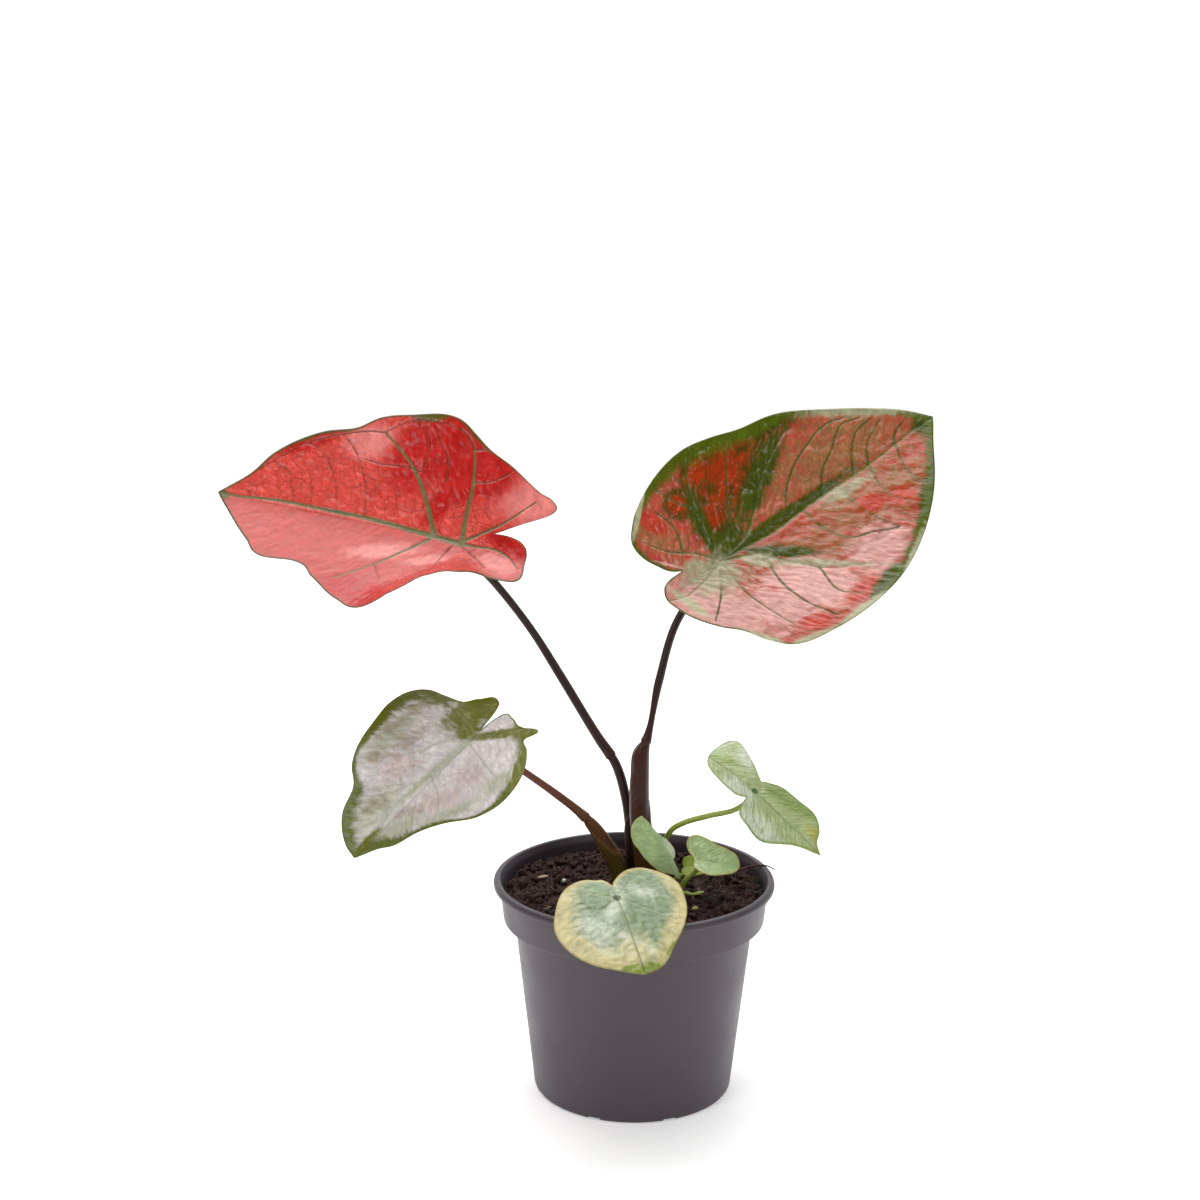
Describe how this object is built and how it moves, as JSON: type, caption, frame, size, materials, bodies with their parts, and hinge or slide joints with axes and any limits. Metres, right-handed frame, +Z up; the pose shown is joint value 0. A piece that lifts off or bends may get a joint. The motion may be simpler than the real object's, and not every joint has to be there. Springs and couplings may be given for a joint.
{
  "type": "potted caladium plant",
  "caption": "Young caladium with red, silvery and pale green arrow-shaped leaves on thin stems, growing in peat in a round tapered nursery pot.",
  "frame": {"origin": "centre of the pot's foot, on the plane it stands on", "axes": "+Z up along the pot's axis, +X towards the right-hand leaves seen from the plant's front, +Y towards its back"},
  "size_m": [0.3085, 0.1512, 0.2875],
  "materials": {
    "pot_plastic": "satin",
    "peat": "matte",
    "blade_coral": "gloss",
    "blade_red_green": "gloss",
    "blade_silver": "satin",
    "blade_drooping": "gloss",
    "blade_cream_edge": "gloss",
    "blade_sage": "satin",
    "stem_purple_brown": "satin",
    "stem_red_brown": "satin",
    "stem_green": "satin",
    "seedling_green": "satin"
  },
  "bodies": {
    "root": {"pot": "pot_plastic", "soil": "peat", "sprout": "seedling_green", "leaf_left_coral": "blade_coral", "stem_left_coral": "stem_purple_brown", "leaf_right_red_green": "blade_red_green", "stem_right_red_green": "stem_purple_brown", "leaf_lower_left_silver": "blade_silver", "stem_lower_left_silver": "stem_red_brown", "leaf_right_drooping": "blade_drooping", "stem_right_drooping": "stem_green", "leaf_front_low": "blade_cream_edge", "stem_front_low": "stem_green", "leaf_middle_small": "blade_sage", "stem_middle_small": "stem_green", "leaf_oval_small": "blade_sage", "stem_oval_small": "stem_green", "leaf_hidden_young": "blade_sage", "stem_hidden_young": "stem_green"}
  },
  "joints": []
}
